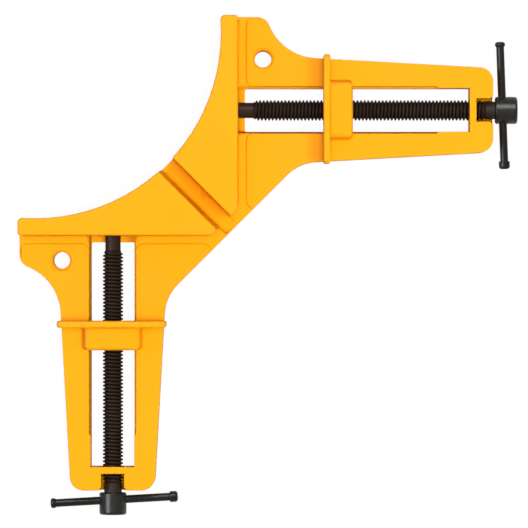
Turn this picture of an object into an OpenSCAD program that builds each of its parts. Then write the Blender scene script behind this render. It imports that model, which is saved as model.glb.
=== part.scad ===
// Corner clamp for holding two workpieces at a right angle.
// One arm runs along +X and the other along -Y. The bench is the plane z = 0.

/* [Frame] */
// Length of each fence from the corner
fence_len = 85.3; // [80:0.1:95]
// Height of the fences above the bed
fence_h = 19; // [14:0.5:25]
// Height of the bed above the bench
bed_h = 16; // [15:0.5:20]
// Thickness of a fence where the outer sweep is nearest to its face
fence_t = 6.6; // [6:0.1:8]
// Radius of the hollow sweep round the outside of the corner
sweep_r = 71.8; // [68:0.2:76]
// Thickness of the cast walls
wall = 2.6; // [2:0.1:2.8]
// Thickness of the cast top surfaces
roof = 3; // [2:0.1:4]
// Thickness of the ribs under the arms
rib_t = 2; // [1.5:0.1:3]
// Spacing of the ribs under the arms
rib_pitch = 22; // [18:1:30]
// Radius at the outer end of each fence, on the side of the sweep
fence_end_r = 1.9; // [0.5:0.1:2.4]
// Radius at the outer end of each fence, on the side of its face
face_end_r = 1; // [0.5:0.1:1.5]

/* [Corner] */
// Width of the mitre channel at its floor
channel_w = 5.7; // [4.5:0.1:6.5]
// Width of the mitre channel at the top of the fences
channel_top_w = 8.4; // [7.5:0.1:10]
// Depth of the channel's floor below the relief strips
channel_d = 0.6; // [0.3:0.1:1]
// Distance from either fence line to the square corner of the dimple in the channel's floor
dimple_back = 14.5; // [12:0.1:18]
// Depth of that dimple
dimple_d = 0.8; // [0.4:0.1:1.2]
// Distance from the fence corner back to the diagonal edge of the bed
corner_cut = 3.2; // [2.5:0.1:4]
// Distance from the diagonal edge back to the raised fence blocks
block_setback = 4.1; // [3:0.1:6]
// Radius between a fence's face and the end of its block at the corner
block_r = 2.4; // [1:0.1:3.5]
// Width of the relief strip along the foot of each fence
strip_w = 3.2; // [2.6:0.1:4]
// Depth of the relief strip below the bed pads
strip_d = 1; // [0.6:0.1:1.4]
// Corner radius of the bed pads beside the slot
pad_r = 3; // [1.2:0.1:3.4]
// Corner radius of the bed pads at the diagonal edge
pad_foot_r = 4; // [3:0.1:5]
// Distance from the diagonal edge to the middle of that corner
pad_foot_in = 1.6; // [1:0.1:2.2]
// Distance from the bed's outer end back to the pad
pad_end = 0.8; // [0.4:0.1:1.2]
// Corner radius of the bed pads at the outer end
pad_end_r = 1.8; // [1:0.1:2.4]

/* [Arms] */
// Distance from the screw axis to the other fence
screw_off = 49; // [47:0.5:54]
// Height of the screw axis above the bench
axis_h = 8; // [7.5:0.1:9]
// Length of an arm from the fence
arm_len = 99.5; // [97:0.5:115]
// Width of the slot
slot_w = 17; // [16.4:0.1:18.4]
// Sideways step from the slot out to the jaw's guide
guide_step = 0.65; // [0.5:0.05:1]
// Depth of the jaw's guide below the bed
guide_d = 4; // [3:0.1:4.5]
// Width of the rail beside the slot, at the fence
rail_root = 13.4; // [12:0.1:15]
// Width of the rail beside the slot, at the arm's tip
rail_tip = 7.85; // [7.2:0.05:9]
// Radius of an arm's outer corners at its tip
tip_r = 5.4; // [3:0.1:6]
// Radius of the curve from the bed's end into the arm
root_out_r = 20.5; // [18:0.5:23]
// Distance from the fence to the middle of that curve
root_out_x = 31.2; // [30:0.2:34]
// Radius of the curve from the diagonal edge into the arm
root_in_r = 17.2; // [14:0.2:20]
// Radius of the bed's outer corner
bed_corner_r = 5.2; // [3:0.1:6]
// Height of the foot web under the screw's journal
web_h = 4; // [3:0.1:4.4]
// Length of the foot web from the fence to the slot
web_len = 2.6; // [2.2:0.1:3.4]
// Radius of the slot's corners at the foot web
slot_r = 0.8; // [0.3:0.1:0.8]
// Thickness of the wall at the outer end of the slot
end_wall = 2.7; // [2:0.1:3.5]
// Length of the open notch at the tip
notch_len = 6.5; // [5:0.1:8]
// Width of the open notch at the tip
notch_w = 9; // [8.6:0.1:10]
// Size of the chamfers at the notch's mouth
notch_chamfer = 1.2; // [0.6:0.1:1.8]

/* [Bench holes] */
// Diameter of a bench hole
hole_d = 6.6; // [5:0.1:7]
// Diameter of the dished rim at the top of a bench hole
hole_rim_d = 9.8; // [8.6:0.1:10.4]
// Depth of that rim
hole_rim_h = 0.6; // [0.3:0.1:1.2]
// Distance from the fence to a bench hole
hole_along = 9.7; // [9.4:0.1:10.6]
// Distance from the other fence to a bench hole
hole_across = 68.9; // [67.5:0.1:72]

/* [Jaws] */
// Largest opening between a jaw and its fence
capacity = 66.4; // [60:0.2:66.6]
// Opening of the jaws as drawn
jaw_gap = 33.2; // [20:0.2:40]
// Width of the jaw plate
jaw_w = 42.3; // [40:0.1:46]
// Thickness of the jaw plate
jaw_t = 2.6; // [2:0.1:3.2]
// Radius on the jaw plate's upper corners
jaw_corner_r = 2; // [1:0.1:4]
// Length of the jaw from its face to the back of the gusset
jaw_len = 11.4; // [10.5:0.1:12]
// Width of the gusset at the bed
gusset_w = 23.5; // [21:0.1:26]
// Width of the gusset at its top
gusset_top_w = 21; // [18:0.1:21]
// Height of the gusset above the bed
gusset_h = 6; // [5:0.5:14]
// How far the guide block stands out behind the gusset
guide_tail = 0.15; // [0.1:0.05:0.3]
// Clearance of the jaw on the frame
slide_gap = 0.15; // [0.1:0.05:0.3]

/* [Screws] */
// Outer diameter of the thread
thread_d = 7.94; // [7.4:0.02:8]
// Diameter of the journal in the fence wall
journal_d = 6; // [5:0.1:6.4]
// Length of the journal in front of the fence
journal_len = 6; // [4.5:0.1:7]
// Diameter of the neck beside the hub
neck_d = 6.9; // [6.2:0.1:7.2]
// Distance from the end of the thread to the arm's tip
thread_short = 2.8; // [1.5:0.1:4]
// Radial clearance of a turning fit
run_gap = 0.05; // [0.02:0.01:0.09]
// Radial clearance of the thread in the end wall
end_gap = 0.3; // [0.2:0.05:0.4]
// Outer diameter of the thrust washer
washer_d = 11; // [9:0.1:12]
// Thickness of the thrust washer
washer_t = 1; // [0.8:0.1:1.2]
// Outer diameter of the retaining clip
clip_d = 9.4; // [8:0.1:10]
// Thickness of the retaining clip
clip_t = 0.8; // [0.6:0.1:1]
// Depth of the clip's groove in the journal
groove_d = 0.7; // [0.4:0.1:0.9]

/* [Hubs and bars] */
// Diameter of the hub
hub_d = 10.6; // [10:0.1:12]
// Length of the hub
hub_len = 8.7; // [8:0.1:10]
// Gap between the arm's tip and the hub
hub_gap = 1; // [0.6:0.1:1.5]
// Diameter of the screw's shank inside the hub
shank_d = 5.4; // [5:0.1:6]
// Chamfer on the hub's inner edge
hub_chamfer = 0.5; // [0.3:0.1:0.8]
// Radius on the hub's outer edge
hub_r = 1; // [0.5:0.1:1.5]
// Distance from the hub's inner face to the bar
bar_pos = 2.9; // [2.7:0.1:4]
// Diameter of the bar
bar_d = 3.1; // [2.8:0.05:3.2]
// Diameter of the cross hole for the bar
bar_hole_d = 3.9; // [3.85:0.05:4.2]
// Length of the bar over its ends
bar_len = 49.8; // [46:0.2:60]
// Diameter of the bar's upset end
upset_d = 4; // [3.7:0.1:4.6]
// Length of the bar's upset end
upset_len = 2.2; // [1.6:0.1:3]
// Diameter of the bar's cap
cap_d = 4.3; // [4:0.1:5]
// Length of the bar's cap
cap_len = 3.1; // [2.4:0.1:4]
// Thickness of the cap's closed end
cap_end = 0.8; // [0.5:0.1:1.2]
// Lean of the right bar in its loose hole, in degrees
right_bar_lean = 2.1; // [-3.3:0.1:3.3]
// Lean of the lower bar in its loose hole, in degrees
lower_bar_lean = -3.2; // [-3.3:0.1:3.3]
// How far the right bar is pushed out of the middle
right_bar_shift = 1.9; // [-10:0.1:10]
// How far the lower bar is pushed out of the middle
lower_bar_shift = -0.5; // [-10:0.1:10]

/* [Hidden] */

paint = "#fdba16";
black_oxide = "#2e2925";

$fn = 64;
// Straight steps that make up one round stretch of an outline
arc_steps = 12;
// Extra length of a cutting shape past the face that it cuts
past = 1;

root2 = sqrt(2);
top_h = bed_h + fence_h;
strip_h = bed_h - strip_d;
channel_h = strip_h - channel_d;
hub_start = arm_len + hub_gap;
hub_end = hub_start + hub_len;

// The frame is centred on its bounding box, so the fence corner lies off the middle
corner_x = (fence_len - hub_end) / 2;

// Half width of an arm at a distance x from the fence, and the taper of its edges
taper = (rail_root - rail_tip) / arm_len;
taper_a = atan(taper);
function half_width(x) = slot_w / 2 + rail_root - taper * x;

// Points along a round stretch, from one angle to another
function arc(centre, r, from, to) = [
  for (i = [0:arc_steps])
    let (a = from + (to - from) * i / arc_steps)
      centre + r * [cos(a), sin(a)]
];

// A point of the right arm's side as it lies on the lower arm's side
function mirrored(p) = [-p[1], -p[0]];
function reversed(points) = [for (i = [len(points) - 1:-1:0]) points[i]];
function both_sides(half) = concat(half, [for (p = reversed(half)) mirrored(p)]);

// Middle of the outer sweep, and the sweep's angle at the fence's end
sweep_c = [-(sweep_r + fence_t), sweep_r + fence_t];
sweep_end_y = fence_len - fence_end_r;
sweep_end_a = asin((sweep_end_y - sweep_c[1]) / sweep_r);
sweep_end_x = sweep_c[0] + sweep_r * cos(sweep_end_a);

// Middle of the curve from the bed's end into the arm, and of the bed's corner beside it
root_out_c = [root_out_x, screw_off + half_width(root_out_x) + root_out_r / cos(taper_a)];
bed_corner_y = fence_len - bed_corner_r;
bed_corner_rise = root_out_c[1] - bed_corner_y;
bed_corner_run = sqrt(pow(root_out_r + bed_corner_r, 2) - pow(bed_corner_rise, 2));
bed_corner_c = [root_out_x - bed_corner_run, bed_corner_y];
bed_corner_a = atan(bed_corner_rise / bed_corner_run);

// Middle of the curve from the diagonal edge into the arm
diagonal_y = corner_cut * root2;
root_in_reach = screw_off - half_width(0) - diagonal_y;
root_in_x = (root_in_reach + root_in_r * (root2 - 1 / cos(taper_a))) / (1 - taper);
root_in_c = [root_in_x, root_in_x + diagonal_y - root_in_r * root2];

// Middles of the rounded corners at the arm's tip
tip_x = arm_len - tip_r;
tip_rise = half_width(tip_x) - tip_r / cos(taper_a);

// Places along the arm
slot_end = arm_len - notch_len - end_wall;
guide_w = slot_w + 2 * guide_step;
guide_h = bed_h - guide_d;
guide_front = web_len + 2 * slide_gap;
guide_end = capacity + jaw_len + guide_tail + slide_gap;
nut_h = 2;

// Places behind the fence
washer_x = -wall - run_gap - washer_t;
clip_x = washer_x - run_gap - clip_t;
journal_end = clip_x - clip_t - run_gap;

// Roof of the pockets under the bed, and the narrowest pocket that is cast
pocket_h = strip_h - roof;
pocket_tip = 2;
hole_boss_d = hole_d + 2 * wall;

// Places the right arm's side, or mirrors it to the lower arm's side
module right_side() {
  translate([corner_x, -corner_x, 0]) children();
}
module lower_side() {
  right_side() mirror([1, 1, 0]) children();
}

// Lays what is drawn round the Z axis along the screw, from a distance x from the fence
module along_screw(x) {
  translate([x, screw_off, axis_h]) rotate([0, 90, 0]) children();
}

// Extrudes a profile drawn across the arm, as [across, up], along the arm
module along_arm(from, to) {
  translate([from, screw_off, 0]) rotate([90, 0, 90]) linear_extrude(to - from) children();
}

// Extrudes a profile drawn across the mitre channel along the corner's diagonal
module along_diagonal(from, to) {
  rotate([0, 0, -45]) translate([from, 0, 0]) rotate([90, 0, 90]) linear_extrude(to - from) children();
}

// Half of the frame's outline, from the outer sweep round the right arm to the diagonal edge
half_outline = concat(
  arc(sweep_c, sweep_r, -45, sweep_end_a),
  arc([sweep_end_x + fence_end_r, sweep_end_y], fence_end_r, 180, 90),
  arc(bed_corner_c, bed_corner_r, 90, bed_corner_a),
  arc(root_out_c, root_out_r, 180 + bed_corner_a, 270 - taper_a),
  arc([tip_x, screw_off + tip_rise], tip_r, 90 - taper_a, 0),
  arc([tip_x, screw_off - tip_rise], tip_r, 0, taper_a - 90),
  arc(root_in_c, root_in_r, 90 + taper_a, 135)
);

// Half of the raised fence block's outline, from the outer sweep to the corner
block_y = (corner_cut + block_setback) * root2 + block_r * tan(45 / 2);
half_block = concat(
  arc(sweep_c, sweep_r, -45, sweep_end_a),
  arc([sweep_end_x + fence_end_r, sweep_end_y], fence_end_r, 180, 90),
  arc([-face_end_r, fence_len - face_end_r], face_end_r, 90, 0),
  arc([-block_r, block_y], block_r, 0, -45)
);

// Outline of the bed pads beside the right arm's slot, with the notch for the jaw's guide
pad_out_y = screw_off + guide_w / 2;
pad_in_y = screw_off - guide_w / 2;
slot_out_y = screw_off + slot_w / 2;
slot_in_y = screw_off - slot_w / 2;
pad_foot_y = strip_w + pad_foot_r + diagonal_y + pad_foot_in * root2;
pad_end_y = fence_len - pad_end;
bed_pads = concat(
  arc([strip_w + pad_end_r, pad_end_y - pad_end_r], pad_end_r, 90, 180),
  arc([strip_w + pad_r, pad_out_y + pad_r], pad_r, 180, 270),
  [[guide_end - guide_step, pad_out_y], [guide_end, slot_out_y], [slot_end, slot_out_y]],
  [[slot_end, slot_in_y], [guide_end, slot_in_y], [guide_end - guide_step, pad_in_y]],
  arc([strip_w + pad_r, pad_in_y - pad_r], pad_r, 90, 180),
  arc([strip_w + pad_foot_r, pad_foot_y], pad_foot_r, 180, 270),
  [[hub_end, pad_foot_y - pad_foot_r], [hub_end, pad_end_y]]
);

// Outline of the right arm's slot
slot_cut = concat(
  arc([web_len + slot_r, slot_in_y + slot_r], slot_r, 270, 180),
  arc([web_len + slot_r, slot_out_y - slot_r], slot_r, 180, 90),
  [[slot_end, slot_out_y], [slot_end, slot_in_y]]
);

// Outline of the guide's rebate in the right arm, measured from the screw axis
guide_cut = [
  [0, guide_w / 2], [guide_end - guide_step, guide_w / 2], [guide_end, slot_w / 2],
  [guide_end, -slot_w / 2], [guide_end - guide_step, -guide_w / 2], [0, -guide_w / 2],
];

// Outline of the notch at the arm's tip, measured from the screw axis
notch_start = arm_len - notch_len;
notch_mouth = notch_w / 2 + notch_chamfer;
notch_cut = [
  [notch_start, notch_w / 2], [arm_len - notch_chamfer, notch_w / 2], [arm_len, notch_mouth],
  [arm_len + past, notch_mouth], [arm_len + past, -notch_mouth], [arm_len, -notch_mouth],
  [arm_len - notch_chamfer, -notch_w / 2], [notch_start, -notch_w / 2],
];

// Outline of the hollow inside the right fence block
block_wall_r = sweep_r + wall;
block_side = channel_top_w / 2 + wall;
block_from = asin(block_side / block_wall_r) - 45;
block_to = -acos((-sweep_c[0] - wall - pocket_tip) / block_wall_r);
block_hollow = concat(
  arc(sweep_c, block_wall_r, block_from, block_to),
  [[-wall, sweep_c[1] + block_wall_r * sin(block_to)], [-wall, block_side * root2 + wall]]
);

// Outlines of the hollows under the bed and the right arm's two rails
rail_edge = half_width(tip_x) - wall / cos(taper_a);
outer_hollow = concat(
  [[0, slot_out_y + wall], [0, fence_len - wall]],
  arc(bed_corner_c, bed_corner_r - wall, 90, bed_corner_a),
  arc(root_out_c, root_out_r + wall, 180 + bed_corner_a, 270 - taper_a),
  [[tip_x, screw_off + rail_edge], [tip_x, slot_out_y + wall]]
);
inner_hollow = concat(
  [[0, diagonal_y + wall * root2], [0, slot_in_y - wall], [tip_x, slot_in_y - wall]],
  [[tip_x, screw_off - rail_edge]],
  arc(root_in_c, root_in_r + wall, 90 + taper_a, 135)
);

// Outer end of the mitre channel, measured along the corner's diagonal
sweep_axis = sweep_r + root2 * sweep_c[0];

// Draws the right arm's side and the lower arm's side of a cut
module both_arms() {
  children();
  mirror([1, 1, 0]) children();
}

// Hollow inside a fence block, with stiffening ribs beside the screw's journal
module block_pocket() {
  difference() {
    translate([0, 0, -past]) linear_extrude(top_h - roof + past) polygon(block_hollow);
    for (y = [screw_off - washer_d - wall, screw_off + washer_d])
      translate([-fence_len, y, web_h]) cube([fence_len, rib_t, top_h]);
  }
}

// Hollows under the bed and the rails, with ribs across the rails and a boss round the bench hole
module bed_pockets() {
  difference() {
    translate([0, 0, -past]) linear_extrude(pocket_h + past) union() {
      polygon(outer_hollow);
      polygon(inner_hollow);
    }
    for (x = [rib_pitch:rib_pitch:tip_x - rib_t])
      translate([x, 0, 0]) cube([rib_t, fence_len, bed_h]);
    translate([hole_along, hole_across, 0]) cylinder(d = hole_boss_d, h = bed_h);
    translate([0, hole_across - rib_t / 2, 0]) cube([hole_along, rib_t, bed_h]);
  }
}

// Slot for the jaw with its guide rebate, end wall hole and open notch
module slot_cuts() {
  translate([0, 0, -past]) linear_extrude(bed_h + 2 * past) polygon(slot_cut);
  translate([0, slot_in_y, web_h]) cube([slot_end, slot_w, bed_h]);
  translate([0, screw_off, guide_h]) linear_extrude(guide_d + past) polygon(guide_cut);
  along_screw(-wall - past) cylinder(d = journal_d + 2 * run_gap, h = wall + 2 * past);
  along_screw(slot_end - past) cylinder(d = thread_d + 2 * end_gap, h = end_wall + 2 * past);
  along_screw(notch_start) cylinder(d = notch_w, h = notch_len + past);
  translate([0, screw_off, axis_h]) linear_extrude(bed_h) polygon(notch_cut);
}

// Hole for a bench screw, with a dished rim
module bench_hole() {
  translate([hole_along, hole_across, 0]) {
    translate([0, 0, -past]) cylinder(d = hole_d, h = bed_h + 2 * past);
    translate([0, 0, bed_h - hole_rim_h]) cylinder(d1 = hole_d, d2 = hole_rim_d, h = hole_rim_h);
  }
}

// Mitre channel that lets a saw blade or squeezed-out glue pass, and the hollow under its floor
module mitre_channel() {
  flare = (channel_top_w - channel_w) / 2 / (top_h - channel_h);
  low = channel_w / 2;
  high = channel_top_w / 2 + flare * past;
  along_diagonal(sweep_axis - past, past) polygon([
    [-low, channel_h], [low, channel_h], [high, top_h + past], [-high, top_h + past],
  ]);
  along_diagonal(sweep_axis + wall, -corner_cut - wall)
    translate([-channel_top_w / 2, -past]) square([channel_top_w, channel_h - roof + past]);
}

// Three-cornered dimple in the channel's floor, against the wall of the right fence block
module channel_dimple() {
  reach = channel_w / root2;
  translate([-dimple_back, dimple_back, channel_h - dimple_d])
    linear_extrude(dimple_d + past) polygon([[0, 0], [reach, 0], [0, reach]]);
}

// Cast frame with both fences and both arms
module frame() {
  color(paint) right_side() difference() {
    union() {
      linear_extrude(strip_h) polygon(both_sides(half_outline));
      linear_extrude(top_h) polygon(both_sides(half_block));
      both_arms() linear_extrude(bed_h) intersection() {
        polygon(both_sides(half_outline));
        polygon(bed_pads);
      }
    }
    mitre_channel();
    channel_dimple();
    both_arms() {
      block_pocket();
      bed_pockets();
      slot_cuts();
      bench_hole();
    }
  }
}

// Jaw casting: pressure plate, gusset behind it, and the guide and nut block in the slot
module jaw() {
  foot = bed_h + slide_gap;
  side = jaw_w / 2;
  guide = guide_w / 2 - slide_gap;
  nut = slot_w / 2 - slide_gap;
  step = guide_h + slide_gap;
  back = jaw_gap + jaw_len;
  color(paint) difference() {
    union() {
      along_arm(jaw_gap, jaw_gap + jaw_t) polygon(concat(
        [[-side, foot], [side, foot]],
        arc([side - jaw_corner_r, top_h - jaw_corner_r], jaw_corner_r, 0, 90),
        arc([jaw_corner_r - side, top_h - jaw_corner_r], jaw_corner_r, 90, 180)
      ));
      along_arm(jaw_gap + jaw_t / 2, back) polygon([
        [-gusset_w / 2, foot], [gusset_w / 2, foot],
        [gusset_top_w / 2, bed_h + gusset_h], [-gusset_top_w / 2, bed_h + gusset_h],
      ]);
      along_arm(jaw_gap + guide_front, back + guide_tail) polygon([
        [-nut, nut_h], [nut, nut_h], [nut, step], [guide, step], [guide, foot + past],
        [-guide, foot + past], [-guide, step], [-nut, step],
      ]);
    }
    along_screw(jaw_gap) cylinder(d = thread_d + 2 * run_gap, h = 2 * jaw_len);
  }
}

// Cross hole for the bar, through the hub and the screw's shank
module bar_hole() {
  translate([hub_start + bar_pos, screw_off - hub_d, axis_h])
    rotate([-90, 0, 0]) cylinder(d = bar_hole_d, h = 2 * hub_d);
}

// Screw: clip groove and journal at the fence, threaded length, neck, and shank in the hub
module spindle() {
  journal = journal_d / 2;
  thread = thread_d / 2;
  neck = neck_d / 2;
  groove = journal - groove_d;
  thread_end = arm_len - thread_short;
  color(black_oxide) difference() {
    along_screw(0) rotate_extrude() polygon([
      [0, journal_end], [groove, journal_end], [journal, journal_end + groove_d / 2],
      [journal, clip_x - run_gap], [groove, clip_x - run_gap],
      [groove, clip_x + clip_t + run_gap], [journal, clip_x + clip_t + run_gap],
      [journal, journal_len], [thread, journal_len + thread - journal],
      [thread, thread_end + neck - thread], [neck, thread_end], [neck, hub_start],
      [shank_d / 2, hub_start], [shank_d / 2, hub_end - hub_chamfer], [0, hub_end - hub_chamfer],
    ]);
    bar_hole();
  }
}

// Hub pressed on the screw's outer end
module spindle_head() {
  color(black_oxide) difference() {
    along_screw(0) rotate_extrude() polygon(concat(
      [[shank_d / 2, hub_end], [shank_d / 2, hub_start], [hub_d / 2 - hub_chamfer, hub_start]],
      [[hub_d / 2, hub_start + hub_chamfer]],
      arc([hub_d / 2 - hub_r, hub_end - hub_r], hub_r, 0, 90)
    ));
    bar_hole();
  }
}

// Thrust washer between the fence wall and the clip
module thrust_washer() {
  color(black_oxide) along_screw(washer_x) difference() {
    cylinder(d = washer_d, h = washer_t);
    translate([0, 0, -past]) cylinder(d = journal_d + 2 * run_gap, h = washer_t + 2 * past);
  }
}

// Open retaining clip in the journal's groove
module retaining_clip() {
  groove = journal_d - 2 * groove_d;
  color(black_oxide) along_screw(clip_x) difference() {
    cylinder(d = clip_d, h = clip_t);
    translate([0, 0, -past]) cylinder(d = groove + 2 * run_gap, h = clip_t + 2 * past);
    translate([0, -groove / 2 + groove_d / 2, -past]) cube([clip_d, groove - groove_d, clip_t + 2 * past]);
  }
}

// Places the bar's middle in the cross hole, with its lean and shift, pointing to its outer end
module along_bar(lean, shift) {
  translate([hub_start + bar_pos, screw_off, axis_h])
    rotate([0, 0, lean]) translate([0, shift, 0]) rotate([-90, 0, 0]) children();
}

// Sliding bar with one end upset in the bar itself
module tbar(lean, shift) {
  end = bar_len / 2;
  swell = upset_d - bar_d;
  edge = upset_d / 4;
  color(black_oxide) along_bar(lean, shift) rotate_extrude() polygon(concat(
    [[0, cap_end - end], [bar_d / 2, cap_end - end]],
    [[bar_d / 2, end - upset_len], [upset_d / 2, end - upset_len + swell]],
    arc([upset_d / 2 - edge, end - edge], edge, 0, 90),
    [[0, end]]
  ));
}

// Cap pressed over the bar's other end
module tbar_cap(lean, shift) {
  end = bar_len / 2;
  edge = cap_d / 4;
  neck = (cap_d - bar_d) / 4;
  color(black_oxide) along_bar(lean, shift) rotate_extrude() polygon(concat(
    [[0, -end]],
    arc([cap_d / 2 - edge, edge - end], edge, -90, 0),
    arc([cap_d / 2 - neck, cap_len - end - neck], neck, 0, 90),
    [[bar_d / 2, cap_len - end], [bar_d / 2, cap_end - end], [0, cap_end - end]]
  ));
}

frame();

right_side() jaw();  // right_jaw
right_side() spindle();  // right_spindle
right_side() spindle_head();  // right_spindle_head
right_side() thrust_washer();  // right_thrust_washer
right_side() retaining_clip();  // right_retaining_clip
right_side() tbar(right_bar_lean, right_bar_shift);  // right_tbar
right_side() tbar_cap(right_bar_lean, right_bar_shift);  // right_tbar_cap

lower_side() jaw();  // lower_jaw
lower_side() spindle();  // lower_spindle
lower_side() spindle_head();  // lower_spindle_head
lower_side() thrust_washer();  // lower_thrust_washer
lower_side() retaining_clip();  // lower_retaining_clip
lower_side() tbar(lower_bar_lean, lower_bar_shift);  // lower_tbar
lower_side() tbar_cap(lower_bar_lean, lower_bar_shift);  // lower_tbar_cap
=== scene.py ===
import math

import bmesh
import bpy
from mathutils import Matrix, Vector


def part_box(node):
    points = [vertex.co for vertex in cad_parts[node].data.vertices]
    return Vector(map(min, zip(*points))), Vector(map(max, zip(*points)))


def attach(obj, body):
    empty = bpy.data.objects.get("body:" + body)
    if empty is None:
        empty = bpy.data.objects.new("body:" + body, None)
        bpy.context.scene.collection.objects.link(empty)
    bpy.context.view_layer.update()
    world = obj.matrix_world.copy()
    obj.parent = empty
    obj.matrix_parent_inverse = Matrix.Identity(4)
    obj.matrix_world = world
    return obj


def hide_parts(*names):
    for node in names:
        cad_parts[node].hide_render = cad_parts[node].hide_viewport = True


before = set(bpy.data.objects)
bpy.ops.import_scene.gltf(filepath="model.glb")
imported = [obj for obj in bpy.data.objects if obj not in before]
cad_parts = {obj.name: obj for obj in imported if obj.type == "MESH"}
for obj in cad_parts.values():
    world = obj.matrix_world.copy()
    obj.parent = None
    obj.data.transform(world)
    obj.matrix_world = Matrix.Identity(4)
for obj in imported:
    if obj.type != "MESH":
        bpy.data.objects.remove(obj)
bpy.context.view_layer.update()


# Frame. One die casting in satin yellow enamel: two swept fence blocks with the mitre channel between them,
# the relief strips and bed pads at their feet, and the two slotted arms. It is hollow and ribbed
# underneath, and its cast edges are soft, most of all along the fence tops.
mm = 0.001
frame_low, frame_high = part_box("frame")
fence_top = frame_high.z
bed_top = 16 * mm
strip_top = 15 * mm
channel_floor = 14.4 * mm
fence_len = 85.3 * mm
corner = Vector((frame_low.x + fence_len, frame_high.y - fence_len, 0))
scene = bpy.context.scene


def merged_copy(node):
    """A bmesh of a CAD node with its loose triangles merged into whole faces."""
    bm = bmesh.new()
    bm.from_mesh(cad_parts[node].data)
    bmesh.ops.remove_doubles(bm, verts=bm.verts, dist=1e-6)
    bmesh.ops.dissolve_limit(bm, angle_limit=math.radians(0.4), verts=bm.verts, edges=bm.edges)
    return bm


def sharp_edges(bm, convex, chosen):
    """The outer edges, or else the inner ones, that turn by a clear angle, of those that chosen picks."""
    clear_angle = math.radians(28)
    return [
        edge for edge in bm.edges
        if len(edge.link_faces) == 2 and edge.calc_face_angle(0) > clear_angle
        and edge.is_convex == convex and chosen(edge)
    ]


def level_at(edge, height):
    """True if both ends of an edge lie at a height."""
    return all(abs(vert.co.z - height) < 0.03 * mm for vert in edge.verts)


def rises_over(edge, height):
    """True if a face beside an edge reaches above a height."""
    return max(vert.co.z for face in edge.link_faces for vert in face.verts) > height


def round_off(bm, edges, radius, segments=4):
    """Rounds outer edges, or fills inner ones, to a radius."""
    bmesh.ops.bevel(
        bm, geom=edges, offset=radius, offset_type="OFFSET", affect="EDGES",
        segments=segments, profile=0.5, material=-1, clamp_overlap=False,
    )


def new_piece(bm, name, body, slot, material, *replaced, axes=None):
    """Turns a bmesh into a shown piece that rides on a body and stands for the CAD nodes named last. Axes
    give the piece's own places to its finish."""
    mesh = bpy.data.meshes.new(name)
    bmesh.ops.recalc_face_normals(bm, faces=bm.faces)
    bm.to_mesh(mesh)
    bm.free()
    if axes:
        own = mesh.attributes.new("own_axes", "FLOAT_VECTOR", "POINT")
        to_own = axes.inverted()
        for vert in mesh.vertices:
            own.data[vert.index].vector = to_own @ vert.co
    mesh.polygons.foreach_set("use_smooth", [True] * len(mesh.polygons))
    mesh.set_sharp_from_angle(angle=math.radians(36))
    mesh.materials.append(material)
    obj = bpy.data.objects.new(name, mesh)
    scene.collection.objects.link(obj)
    weight = obj.modifiers.new("flat_faces", "WEIGHTED_NORMAL")
    weight.keep_sharp = True
    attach(obj, body)
    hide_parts(*replaced)


# The drift of tone and gloss over a surface and its fine grain, shared by all the finishes.
finish_group = bpy.data.node_groups.new("surface_finish", "ShaderNodeTree")
for way, socket, kind in (
    ("INPUT", "Place", "NodeSocketVector"),
    ("INPUT", "Dark", "NodeSocketColor"),
    ("INPUT", "Light", "NodeSocketColor"),
    ("INPUT", "Drift Scale", "NodeSocketFloat"),
    ("INPUT", "Grain Scale", "NodeSocketFloat"),
    ("INPUT", "Gloss Low", "NodeSocketFloat"),
    ("INPUT", "Gloss High", "NodeSocketFloat"),
    ("OUTPUT", "Tone", "NodeSocketColor"),
    ("OUTPUT", "Roughness", "NodeSocketFloat"),
    ("OUTPUT", "Height", "NodeSocketFloat"),
):
    finish_group.interface.new_socket(socket, in_out=way, socket_type=kind)
nodes, links = finish_group.nodes, finish_group.links
entry = nodes.new("NodeGroupInput")
leave = nodes.new("NodeGroupOutput")
drift = nodes.new("ShaderNodeTexNoise")
drift.inputs["Detail"].default_value = 3
grain = nodes.new("ShaderNodeTexNoise")
grain.inputs["Detail"].default_value = 2
tone = nodes.new("ShaderNodeMix")
tone.data_type = "RGBA"
gloss = nodes.new("ShaderNodeMapRange")
gloss.inputs["From Min"].default_value = 0.3
gloss.inputs["From Max"].default_value = 0.7
links.new(entry.outputs["Place"], drift.inputs["Vector"])
links.new(entry.outputs["Place"], grain.inputs["Vector"])
links.new(entry.outputs["Drift Scale"], drift.inputs["Scale"])
links.new(entry.outputs["Grain Scale"], grain.inputs["Scale"])
links.new(drift.outputs["Fac"], tone.inputs["Factor"])
links.new(entry.outputs["Dark"], tone.inputs["A"])
links.new(entry.outputs["Light"], tone.inputs["B"])
links.new(drift.outputs["Fac"], gloss.inputs["Value"])
links.new(entry.outputs["Gloss Low"], gloss.inputs["To Min"])
links.new(entry.outputs["Gloss High"], gloss.inputs["To Max"])
links.new(tone.outputs["Result"], leave.inputs["Tone"])
links.new(gloss.outputs["Result"], leave.inputs["Roughness"])
links.new(grain.outputs["Fac"], leave.inputs["Height"])


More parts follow.
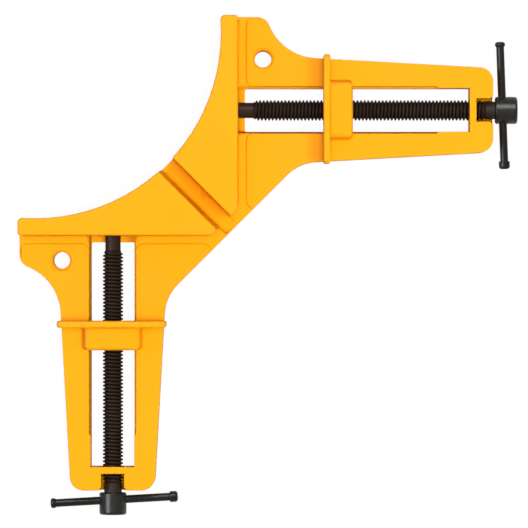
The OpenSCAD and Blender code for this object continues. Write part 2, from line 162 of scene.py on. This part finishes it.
def finish(name, dark, light, drift_scale, grain_scale, gloss, bump, specular, stretch=None):
    """A material whose tone and gloss drift over the surface, with its grain as a bump. With a stretch, its
    pattern follows the piece's own axes, drawn out by that much along each."""
    mat = bpy.data.materials.new(name)
    mat.use_nodes = True
    tree = mat.node_tree
    shader = tree.nodes["Principled BSDF"]
    group = tree.nodes.new("ShaderNodeGroup")
    group.node_tree = finish_group
    group.name = "finish"
    group.inputs["Dark"].default_value = (*dark, 1)
    group.inputs["Light"].default_value = (*light, 1)
    group.inputs["Drift Scale"].default_value = drift_scale
    group.inputs["Grain Scale"].default_value = grain_scale
    group.inputs["Gloss Low"].default_value, group.inputs["Gloss High"].default_value = gloss
    if stretch:
        place = tree.nodes.new("ShaderNodeAttribute")
        place.attribute_name = "own_axes"
        turn = tree.nodes.new("ShaderNodeMapping")
        turn.inputs["Scale"].default_value = stretch
        tree.links.new(place.outputs["Vector"], turn.inputs["Vector"])
        tree.links.new(turn.outputs["Vector"], group.inputs["Place"])
    else:
        place = tree.nodes.new("ShaderNodeTexCoord")
        tree.links.new(place.outputs["Object"], group.inputs["Place"])
    relief = tree.nodes.new("ShaderNodeBump")
    relief.inputs["Strength"].default_value = bump
    relief.inputs["Distance"].default_value = 0.3 * mm
    shader.inputs["Specular IOR Level"].default_value = specular
    tree.links.new(group.outputs["Tone"], shader.inputs["Base Color"])
    tree.links.new(group.outputs["Roughness"], shader.inputs["Roughness"])
    tree.links.new(group.outputs["Height"], relief.inputs["Height"])
    tree.links.new(relief.outputs["Normal"], shader.inputs["Normal"])
    return mat


enamel = finish(
    "yellow_enamel", (0.80, 0.302, 0.002), (0.84, 0.332, 0.004),
    drift_scale=25, grain_scale=1300, gloss=(0.4, 0.48), bump=0.05, specular=0.13,
)

bm = merged_copy("frame")

# The dished rims of the bench holes are drawn in a little deeper than the CAD has them.
dish_depth = 0.6 * mm
dish_extra = 0.7 * mm
for vert in bm.verts:
    if abs(vert.co.z - (bed_top - dish_depth)) < 0.02 * mm:
        vert.co.z -= dish_extra

# Where a pad's edge meets the outline of the bed there is a small step. The edges stay crisp next to it.
crisp_run = 0.6 * mm
crisp_reach = 0.5 * mm
slack = 0.05 * mm
crisp = []
for edge in list(bm.edges):
    top, foot = sorted(edge.verts, key=lambda v: -v.co.z)
    upright = (top.co - foot.co).xy.length < slack
    if not upright or abs(top.co.z - bed_top) + abs(foot.co.z - strip_top) > slack:
        continue
    if min(vert.co.z for face in edge.link_faces for vert in face.verts) > strip_top - 0.5 * mm:
        continue
    for vert in (top, foot):
        crisp.append(vert.co.copy())
        for rim in list(vert.link_edges):
            if (level_at(rim, bed_top) or level_at(rim, strip_top)) and rim.calc_length() > 2 * crisp_run:
                bmesh.utils.edge_split(rim, vert, crisp_run / rim.calc_length())


def free(edge):
    """True if an edge keeps off the steps."""
    return all((vert.co - place).length > crisp_reach for vert in edge.verts for place in crisp)


def clear_of(edge, others, gap):
    """True if the middle of an edge keeps a gap to all the other edges."""
    middle = (edge.verts[0].co + edge.verts[1].co) / 2
    for other in others:
        start, end = (vert.co for vert in other.verts)
        share = (middle - start).dot(end - start) / (end - start).length_squared
        if (start.lerp(end, min(max(share, 0), 1)) - middle).length < gap:
            return False
    return True


def middle_run(edge, gap):
    """Splits an edge at a gap from both its ends, and gives the part between."""
    start, end = edge.verts
    bmesh.utils.edge_split(edge, start, gap / edge.calc_length())
    bmesh.utils.edge_split(edge, end, gap / edge.calc_length())
    return edge


channel_way = Vector((1, -1, 0)).normalized()
across_way = Vector((1, 1, 0)).normalized()


def along_channel(edge):
    """True if an edge runs the way of the mitre channel."""
    return abs((edge.verts[0].co - edge.verts[1].co).normalized().dot(channel_way)) > 0.99


def right_of_channel(edge):
    """True if an edge lies to the right of the channel's middle line."""
    return (edge.verts[0].co - corner).dot(across_way) > 0


def beside_fence(edge):
    """True if an edge is a long one with a fence's wall beside it."""
    return edge.calc_length() > 8 * mm and rises_over(edge, bed_top + mm)


# The channel's right wall stands steeper than the CAD has it, so that its soft rim ends where the CAD's does.
rim_round = 0.9 * mm
[right_rim] = sharp_edges(bm, True, lambda e: (
    level_at(e, fence_top) and beside_fence(e) and along_channel(e) and right_of_channel(e)
))
for vert in right_rim.verts:
    neighbour = next(e for e in vert.link_edges if level_at(e, fence_top) and e != right_rim)
    way = (vert.co - neighbour.other_vert(vert).co).normalized()
    vert.co += way * rim_round / abs(way.dot(across_way))

# Rounded rims on the fences and at the channel's mouths.
fence_rims = sharp_edges(bm, True, lambda e: level_at(e, fence_top))
channel_mouths = sharp_edges(bm, True, lambda e: (
    all(vert.co.z > channel_floor - 0.1 * mm for vert in e.verts)
    and abs(e.verts[0].co.z - e.verts[1].co.z) > 5 * mm
))
round_off(bm, fence_rims + channel_mouths, rim_round)

# Small roundings on the bed's rims and fills along the feet of the pads.
bed_round = 0.4 * mm
pad_fill = 0.35 * mm
round_off(bm, sharp_edges(bm, True, lambda e: free(e) and level_at(e, bed_top)), bed_round)
strip_rims = sharp_edges(bm, True, lambda e: level_at(e, strip_top))
pad_feet = sharp_edges(bm, False, lambda e: (
    level_at(e, strip_top) and not rises_over(e, bed_top + mm)
    and free(e) and clear_of(e, strip_rims, 2 * pad_fill)
))
round_off(bm, pad_feet, pad_fill)

# Fills along the fences' feet, and soft rims on the shallow groove that goes on from the channel. Each keeps
# a little off its ends, where other edges meet it.
fence_fill, fence_end = 0.8 * mm, 1.2 * mm
groove_round, groove_end = 0.45 * mm, 0.5 * mm
fence_feet = sharp_edges(bm, False, lambda e: level_at(e, strip_top) and beside_fence(e))
round_off(bm, [middle_run(e, fence_end) for e in fence_feet], fence_fill)
groove_rims = sharp_edges(bm, True, lambda e: (
    level_at(e, strip_top) and along_channel(e) and e.calc_length() > 3 * mm
))
round_off(bm, [middle_run(e, groove_end) for e in groove_rims], groove_round)

# A wider fill in the foot of the channel's left wall.
channel_fill, channel_end = 1.9 * mm, 2.5 * mm
channel_feet = sharp_edges(bm, False, lambda e: (
    level_at(e, channel_floor) and beside_fence(e) and not right_of_channel(e)
))
round_off(bm, [middle_run(e, channel_end) for e in channel_feet], channel_fill, segments=6)
new_piece(bm, "frame_casting", "frame", "cast_paint", enamel, "frame")


# Jaws. Each is one casting in the same enamel: a pressure plate with rounded rims, and a gusset behind it
# that carries the guide and the tapped nut block down in the arm's slot.
sides = ("right", "lower")
gusset_top = bed_top + 6 * mm
root_fill = 1.2 * mm
plate_round = 0.8 * mm
gusset_round = 1.5 * mm


def upright_part(edge):
    """True if an edge belongs to the plate or the gusset above the arm, and not to the guide under them."""
    heights = [vert.co.z for vert in edge.verts]
    return max(heights) > bed_top + 4 * mm and min(heights) > bed_top + 0.1 * mm


def on_plate(edge):
    """True if a face beside an edge reaches well above the gusset."""
    return rises_over(edge, gusset_top + 3 * mm)


for side in sides:
    bm = merged_copy(side + "_jaw")
    round_off(bm, sharp_edges(bm, False, upright_part), root_fill)
    round_off(bm, sharp_edges(bm, True, lambda e: upright_part(e) and on_plate(e)), plate_round)
    round_off(bm, sharp_edges(bm, True, lambda e: upright_part(e) and not on_plate(e)), gusset_round)
    new_piece(bm, side + "_jaw_casting", side + "_jaw", "cast_paint", enamel, side + "_jaw")


# Screws. Steel in brownish black oxide, with a rolled left-hand thread of 18 turns to the inch between the
# journal in the fence wall and the neck beside the hub. Painted shade darkens the thread's roots below its
# crests.
pitch = 25.4 / 18 * mm
crest_r = 3.97 * mm
root_r = 3.15 * mm
journal_r = 3.0 * mm
neck_r = 3.45 * mm
journal_cut, neck_cut = 5.7 * mm, 98.5 * mm
thread_from, thread_to = 6.0 * mm, 96.7 * mm
root_lap = 0.4 * mm
shoulder = 0.2 * mm
turn_steps = 40


def along_arm(side):
    """Takes distances along the screw from the fence, across it and above its axis to their place."""
    low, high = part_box(side + "_spindle")
    axis = (low + high) / 2
    if side == "right":
        return Matrix.Translation((corner.x, axis.y, axis.z))
    return Matrix.Translation((axis.x, corner.y, axis.z)) @ Matrix.Rotation(-math.pi / 2, 4, "Z")


def spin_profile(bm, profile, advance=0):
    """Spins points, each a distance along the X axis and a radius, through one turn. With an advance, the
    turn also moves that far along the axis and stays open."""
    verts = [bm.verts.new((x, 0, r)) for x, r in profile]
    edges = [bm.edges.new(pair) for pair in zip(verts, verts[1:])]
    bmesh.ops.spin(
        bm, geom=verts + edges, cent=(0, 0, 0), axis=(1, 0, 0), dvec=(advance / turn_steps, 0, 0),
        angle=2 * math.pi, steps=turn_steps, use_merge=not advance, use_duplicate=False,
    )


def trim(bm, x, outwards):
    """Takes off what lies beyond a plane across the X axis, and closes the cut."""
    cut = bmesh.ops.bisect_plane(
        bm, geom=bm.verts[:] + bm.edges[:] + bm.faces[:], plane_co=(x, 0, 0),
        plane_no=(outwards, 0, 0), clear_outer=True, clear_inner=False,
    )
    rim = [part for part in cut["geom_cut"] if isinstance(part, bmesh.types.BMEdge)]
    bmesh.ops.contextual_create(bm, geom=rim)


def add_end(bm, side, x, outwards):
    """Adds the part of a screw's CAD node that lies beyond a plane across its axis."""
    end = merged_copy(side + "_spindle")
    end.transform(along_arm(side).inverted())
    trim(end, x, -outwards)
    mesh = bpy.data.meshes.new("end")
    end.to_mesh(mesh)
    end.free()
    bm.from_mesh(mesh)
    bpy.data.meshes.remove(mesh)


def thread(bm):
    """Sweeps a row of thread teeth through one turn and one pitch, trims and closes its ends, and lets the
    first and the last turn run out to the root."""
    tooth = ((0, root_r), (0.16, root_r), (0.43, crest_r), (0.73, crest_r))
    teeth = int((thread_to - thread_from) / pitch) + 4
    start = thread_from - 2 * pitch
    points = [(start + (i + share) * pitch, radius) for i in range(teeth) for share, radius in tooth]
    spin_profile(bm, points, advance=-pitch)
    bmesh.ops.remove_doubles(bm, verts=bm.verts, dist=0.01 * mm)
    trim(bm, thread_from, -1)
    trim(bm, thread_to, 1)
    for vert in bm.verts:
        near = min(vert.co.x - thread_from, thread_to - vert.co.x)
        radius = math.hypot(vert.co.y, vert.co.z)
        if near < pitch and radius > root_r:
            keep = root_r + (radius - root_r) * max(near, 0) / pitch
            vert.co.y *= keep / radius
            vert.co.z *= keep / radius


screw_steel = finish(
    "screw_black_oxide", (0.019, 0.0108, 0.007), (0.028, 0.018, 0.0125),
    drift_scale=120, grain_scale=1500, gloss=(0.4, 0.55), bump=0.2, specular=0.22, stretch=(1, 1, 1),
)

# Painted shade: the thread's roots are painted darker than its crests, standing in for the shade in the
# grooves.
tree = screw_steel.node_tree
crest_for_root_shade = tree.nodes.new("ShaderNodeAttribute")
crest_for_root_shade.attribute_name = "crest"
shade = tree.nodes.new("ShaderNodeMapRange")
shade.inputs["To Min"].default_value = 0.15
deepen = tree.nodes.new("ShaderNodeMix")
deepen.data_type = "RGBA"
deepen.blend_type = "MULTIPLY"
deepen.inputs["Factor"].default_value = 1
tree.links.new(crest_for_root_shade.outputs["Fac"], shade.inputs["Value"])
tree.links.new(tree.nodes["finish"].outputs["Tone"], deepen.inputs["A"])
tree.links.new(shade.outputs["Result"], deepen.inputs["B"])
tree.links.new(deepen.outputs["Result"], tree.nodes["Principled BSDF"].inputs["Base Color"])

for side in sides:
    bm = bmesh.new()
    thread(bm)
    spin_profile(bm, [
        (journal_cut, 0), (journal_cut, journal_r), (thread_from - shoulder, journal_r),
        (thread_from, root_r), (thread_from + root_lap, root_r), (thread_from + root_lap, 0),
    ])
    spin_profile(bm, [
        (thread_to - root_lap, 0), (thread_to - root_lap, root_r), (thread_to + shoulder, neck_r),
        (neck_cut, neck_r), (neck_cut, 0),
    ])
    add_end(bm, side, journal_cut, -1)
    add_end(bm, side, neck_cut, 1)
    bmesh.ops.remove_doubles(bm, verts=bm.verts, dist=1e-6)
    # The crest value, 0 at the root and 1 at the crest, sets how much painted shade darkens the thread.
    crest = bm.verts.layers.float.new("crest")
    for vert in bm.verts:
        threaded = thread_from + 0.5 * mm < vert.co.x < thread_to - 0.5 * mm
        depth = (math.hypot(vert.co.y, vert.co.z) - root_r) / (crest_r - root_r)
        vert[crest] = max(depth, 0) if threaded else 0.9
    bm.transform(along_arm(side))
    new_piece(bm, side + "_screw", side + "_spindle", "black_steel", screw_steel, side + "_spindle",
              axes=along_arm(side))


# Hubs. Turned steel in black oxide, pressed on each screw's outer end, with a chamfered inner edge, a rounded
# outer rim and a loose cross hole for the bar.
turned_steel = finish(
    "turned_black_oxide", (0.0075, 0.0067, 0.0062), (0.014, 0.0128, 0.012),
    drift_scale=90, grain_scale=700, gloss=(0.26, 0.36), bump=0.12, specular=0.4, stretch=(3, 0.25, 0.25),
)
for side in sides:
    bm = merged_copy(side + "_spindle_head")
    new_piece(bm, side + "_hub", side + "_spindle", "black_steel", turned_steel, side + "_spindle_head",
              axes=along_arm(side))


# Bars. Drawn steel rods in black oxide that slide in the hubs. One end of each is upset in the bar itself,
# and the other carries a pressed cap.
drawn_steel = finish(
    "drawn_black_oxide", (0.0045, 0.004, 0.0036), (0.009, 0.0082, 0.0075),
    drift_scale=90, grain_scale=700, gloss=(0.24, 0.34), bump=0.12, specular=0.3, stretch=(2, 0.2, 2),
)
for side in sides:
    for node, name in (("_tbar", "_bar"), ("_tbar_cap", "_bar_cap")):
        bm = merged_copy(side + node)
        new_piece(bm, side + name, side + "_tbar", "black_steel", drawn_steel, side + node,
                  axes=along_arm(side))


# Washers and clips. Thrust washers in black oxide and open spring clips sit behind the fence walls, inside
# the casting, and keep the screws from moving along.
washer_steel = finish(
    "washer_black_oxide", (0.022, 0.020, 0.0185), (0.036, 0.033, 0.031),
    drift_scale=90, grain_scale=900, gloss=(0.4, 0.5), bump=0.1, specular=0.6,
)
spring_steel = finish(
    "phosphated_spring_steel", (0.035, 0.033, 0.030), (0.06, 0.056, 0.05),
    drift_scale=150, grain_scale=1200, gloss=(0.4, 0.5), bump=0.1, specular=0.8,
)
for side in sides:
    for node, material in (("_thrust_washer", washer_steel), ("_retaining_clip", spring_steel)):
        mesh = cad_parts[side + node].data
        mesh.materials.clear()
        mesh.materials.append(material)


# Stage. White paper under the clamp, lit by a soft sky, a broad lamp overhead and a smaller key lamp on the
# right. Two soft boxes, on the left and behind, show only as reflections in the black steel. The camera
# hangs far above the bed and looks straight down.
paper = finish(
    "white_paper", (0.50, 0.50, 0.50), (0.54, 0.54, 0.54),
    drift_scale=3, grain_scale=300, gloss=(0.8, 0.9), bump=0.02, specular=0.1,
)

# To the camera the paper glows a little, so that it shows nearly white under the clamp's faint shadow.
tree = paper.node_tree
shader = tree.nodes["Principled BSDF"]
seen = tree.nodes.new("ShaderNodeLightPath")
pale = tree.nodes.new("ShaderNodeMix")
pale.data_type = "RGBA"
pale.inputs["B"].default_value = (0.06, 0.06, 0.06, 1)
glow = tree.nodes.new("ShaderNodeMath")
glow.operation = "MULTIPLY"
glow.inputs[1].default_value = 0.93
tree.links.new(seen.outputs["Is Camera Ray"], pale.inputs["Factor"])
tree.links.new(tree.nodes["finish"].outputs["Tone"], pale.inputs["A"])
tree.links.new(pale.outputs["Result"], shader.inputs["Base Color"])
tree.links.new(seen.outputs["Is Camera Ray"], glow.inputs[0])
tree.links.new(glow.outputs["Value"], shader.inputs["Emission Strength"])
shader.inputs["Emission Color"].default_value = (1, 1, 1, 1)

floor_gap = 0.3 * mm
bm = bmesh.new()
bmesh.ops.create_grid(bm, x_segments=1, y_segments=1, size=3)
floor_mesh = bpy.data.meshes.new("floor")
bm.to_mesh(floor_mesh)
bm.free()
floor_mesh.materials.append(paper)
floor = bpy.data.objects.new("floor", floor_mesh)
floor.location.z = -floor_gap
scene.collection.objects.link(floor)

# The sky is brighter towards the zenith, and plain white where the camera looks past the paper.
world = bpy.data.worlds.new("studio")
world.use_nodes = True
tree = world.node_tree
heading = tree.nodes.new("ShaderNodeTexCoord")
height = tree.nodes.new("ShaderNodeSeparateXYZ")
sky = tree.nodes.new("ShaderNodeMapRange")
sky.inputs["To Min"].default_value = 0.3
sky.inputs["To Max"].default_value = 0.48
seen = tree.nodes.new("ShaderNodeLightPath")
backdrop = tree.nodes.new("ShaderNodeMix")
backdrop.inputs["B"].default_value = 1
tree.links.new(heading.outputs["Generated"], height.inputs["Vector"])
tree.links.new(height.outputs["Z"], sky.inputs["Value"])
tree.links.new(seen.outputs["Is Camera Ray"], backdrop.inputs["Factor"])
tree.links.new(sky.outputs["Result"], backdrop.inputs["A"])
tree.links.new(backdrop.outputs["Result"], tree.nodes["Background"].inputs["Strength"])
tree.nodes["Background"].inputs["Color"].default_value = (1, 1, 1, 1)
scene.world = world

for name, place, size, watts, lights, mirrored in (
    ("overhead", Vector((0.06, -0.06, 2.62)), 0.6, 51.5, True, False),
    ("key", Vector((0.45, -0.04, 1.5)), 0.36, 10.4, True, False),
    ("left_box", Vector((-1.4, 0, 1.5)), 1.1, 24, False, True),
    ("back_box", Vector((0, 1.15, 1.7)), 1.1, 24, False, True),
):
    lamp = bpy.data.lights.new(name, "AREA")
    lamp.shape = "DISK"
    lamp.size = size
    lamp.energy = watts
    light = bpy.data.objects.new(name, lamp)
    light.location = place
    light.rotation_euler = (-place).to_track_quat("-Z", "Y").to_euler()
    light.visible_diffuse = lights
    light.visible_glossy = mirrored
    scene.collection.objects.link(light)

image_side = 528
pixel = 0.39 * mm
camera_rise = 5900 * pixel
camera_aside = Vector((10.1 * mm, -11.1 * mm, 0))
camera_data = bpy.data.cameras.new("camera")
camera_data.sensor_width = 36
camera_data.lens = camera_data.sensor_width * camera_rise / (image_side * pixel)
camera = bpy.data.objects.new("camera", camera_data)
camera.location = corner + camera_aside + Vector((0, 0, bed_top + camera_rise))
scene.collection.objects.link(camera)
scene.camera = camera
scene.view_settings.view_transform = "Standard"
